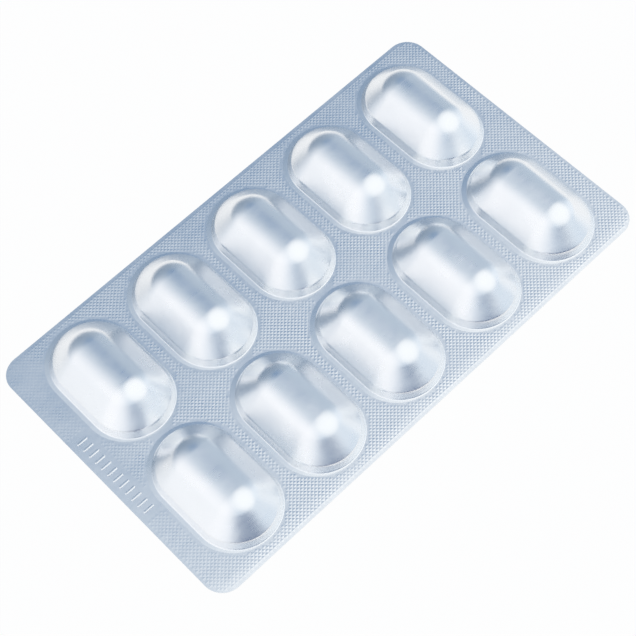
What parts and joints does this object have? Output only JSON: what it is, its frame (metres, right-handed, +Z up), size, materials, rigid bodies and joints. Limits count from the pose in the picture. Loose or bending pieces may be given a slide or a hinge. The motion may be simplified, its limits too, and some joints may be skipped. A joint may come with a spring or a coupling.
{
  "type": "pill blister pack",
  "caption": "Sealed cold-formed metal blister pack for tablets: rows of domed oblong pockets rise from a flat knurled flange with rounded corners.",
  "frame": {"origin": "middle of the flat foil back, on the surface that the pack rests on", "axes": "+X along the pack's long side, away from the stamped end; +Y along its short side; +Z up through the pockets"},
  "size_m": [0.11, 0.0632, 0.0076],
  "materials": {
    "foil": "satin cold-formed aluminium laminate, knurled where it is sealed"
  },
  "bodies": {
    "root": {"blister_pack": "foil"}
  },
  "joints": []
}
